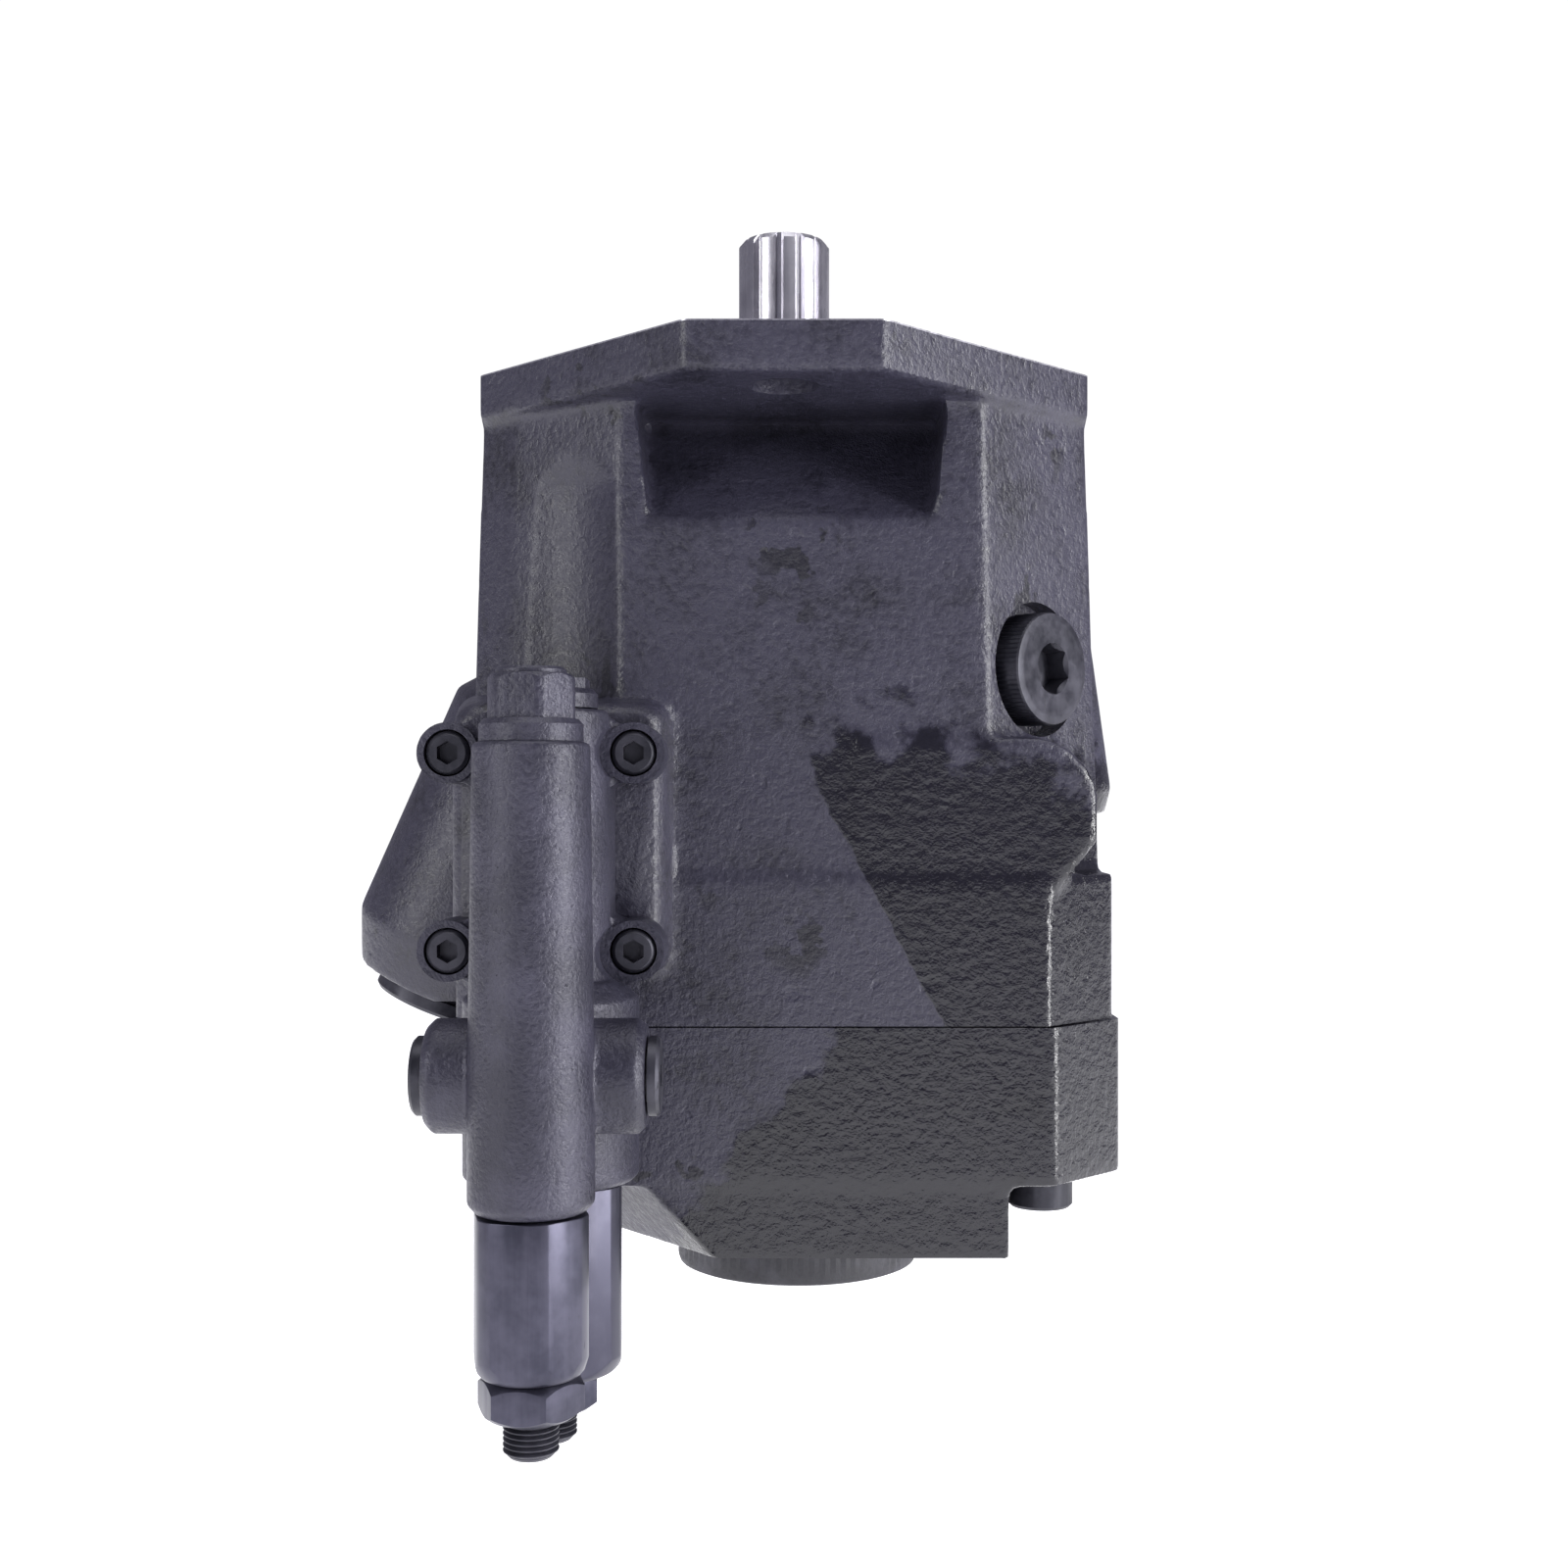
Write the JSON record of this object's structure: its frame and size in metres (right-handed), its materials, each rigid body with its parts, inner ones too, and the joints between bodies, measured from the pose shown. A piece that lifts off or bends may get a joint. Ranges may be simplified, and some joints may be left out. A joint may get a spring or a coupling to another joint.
{
  "type": "axial piston pump",
  "caption": "Swashplate axial piston pump with splined shaft, two-bolt flange and a side-mounted pressure and flow compensator",
  "frame": {"origin": "centre of the mounting flange's face, on the shaft axis", "axes": "+Z out along the drive shaft, -Y towards the control valve, X along the port plate's width"},
  "size_m": [0.1823, 0.2144, 0.2576],
  "materials": {
    "housing_paint": "glossy black paint over a grainy casting",
    "valve_finish": "satin dark grey coating over a fine casting",
    "satin_steel": "satin plated steel with light scuffs",
    "black_steel": "black oxide",
    "black_plastic": "moulded, fine knurl",
    "rubber": "matt",
    "bright_steel": "ground and machined",
    "bronze": "turned bronze"
  },
  "bodies": {
    "housing": {"housing": "housing_paint", "port_plate": "housing_paint", "port_plate_seal": "rubber", "port_plate_bolt_1": "black_steel", "port_plate_bolt_2": "black_steel", "port_plate_bolt_3": "black_steel", "port_plate_bolt_4": "black_steel", "drain_plug": "black_steel", "suction_plug": "black_plastic", "pressure_plug": "black_plastic", "shaft_seal": "rubber", "seal_retaining_ring": "black_steel", "front_bearing_cup": "bright_steel", "rear_bearing_cup": "bright_steel", "valve_plate": "bronze", "cradle_shell_front": "bronze", "cradle_shell_back": "bronze", "stroke_bore_plug": "black_steel", "bias_bore_plug": "bright_steel", "control_valve_body": "valve_finish", "valve_screw_1": "black_steel", "valve_screw_2": "black_steel", "valve_screw_3": "black_steel", "valve_screw_4": "black_steel", "pressure_bore_plug": "valve_finish", "flow_bore_plug": "valve_finish", "cross_plug_left": "black_steel", "cross_plug_right": "black_steel", "flow_spring_sleeve": "satin_steel", "pressure_spring_sleeve": "satin_steel", "flow_lock_nut": "satin_steel", "pressure_lock_nut": "satin_steel"},
    "shaft": {"drive_shaft": "bright_steel", "front_bearing_cone": "bright_steel", "rear_bearing_cone": "bright_steel", "cylinder_barrel": "bronze"},
    "piston_set": {"piston_1": "bright_steel", "piston_2": "bright_steel", "piston_3": "bright_steel", "piston_4": "bright_steel", "piston_5": "bright_steel", "piston_6": "bright_steel", "piston_7": "bright_steel", "piston_8": "bright_steel", "piston_9": "bright_steel", "retaining_plate": "bright_steel", "guide_ball": "bright_steel", "barrel_spring": "bright_steel"},
    "swashplate": {"swashplate": "bright_steel"},
    "stroke_piston": {"stroke_piston": "bright_steel"},
    "bias_piston": {"bias_piston": "bright_steel", "bias_spring": "bright_steel"},
    "pressure_spool": {"pressure_spool": "bright_steel", "pressure_spring": "bright_steel"},
    "flow_spool": {"flow_spool": "bright_steel", "flow_spring": "bright_steel"},
    "pressure_seat": {"pressure_spring_seat": "bright_steel"},
    "flow_seat": {"flow_spring_seat": "bright_steel"},
    "pressure_screw": {"pressure_adjusting_screw": "black_steel"},
    "flow_screw": {"flow_adjusting_screw": "black_steel"}
  },
  "joints": [
    {"name": "shaft_spin", "type": "hinge", "parent": "housing", "child": "shaft", "pos_m": [0, 0, 0], "axis": [0, 0, 1], "continuous": true},
    {"name": "stroke_slide", "type": "slide", "parent": "housing", "child": "stroke_piston", "axis": [-0.4067, 0, -0.9135], "range_m": [0, 0.01884]},
    {"name": "swash_tilt", "type": "hinge", "parent": "housing", "child": "swashplate", "pos_m": [0, 0, -0.079], "axis": [0, -1, 0], "range_deg": [0, 17]},
    {"name": "piston_stroke", "type": "slide", "parent": "shaft", "child": "piston_set", "axis": [0, 0, -1], "range_m": [0, 0.0115], "deforming": ["barrel_spring"]},
    {"name": "bias_slide", "type": "slide", "parent": "housing", "child": "bias_piston", "axis": [0, 0, 1], "range_m": [0, 0.0175], "deforming": ["bias_spring"]},
    {"name": "pressure_spool_slide", "type": "slide", "parent": "housing", "child": "pressure_spool", "axis": [0, 0, -1], "range_m": [0, 0.003], "stiffness_N_per_m": 2000, "deforming": ["pressure_spring"]},
    {"name": "flow_spool_slide", "type": "slide", "parent": "housing", "child": "flow_spool", "axis": [0, 0, -1], "range_m": [0, 0.003], "stiffness_N_per_m": 1000, "deforming": ["flow_spring"]},
    {"name": "pressure_seat_travel", "type": "slide", "parent": "housing", "child": "pressure_seat", "axis": [0, 0, 1], "range_m": [-0.002, 0.002]},
    {"name": "flow_seat_travel", "type": "slide", "parent": "housing", "child": "flow_seat", "axis": [0, 0, 1], "range_m": [-0.002, 0.002]},
    {"name": "pressure_adjust", "type": "hinge", "parent": "pressure_seat", "child": "pressure_screw", "pos_m": [-0.045, -0.088, -0.2], "axis": [0, 0, 1], "range_deg": [-725, 725]},
    {"name": "flow_adjust", "type": "hinge", "parent": "flow_seat", "child": "flow_screw", "pos_m": [-0.045, -0.116, -0.2], "axis": [0, 0, 1], "range_deg": [-725, 725]}
  ],
  "couplings": [
    {"joint": "swash_tilt", "follows": "stroke_slide", "rad_per_m": 15.748},
    {"joint": "piston_stroke", "follows": "stroke_slide", "ratio": 0.59528},
    {"joint": "bias_slide", "follows": "stroke_slide", "ratio": 0.91339},
    {"joint": "pressure_adjust", "follows": "pressure_seat_travel", "rad_per_m": 6283.2},
    {"joint": "flow_adjust", "follows": "flow_seat_travel", "rad_per_m": 6283.2}
  ]
}
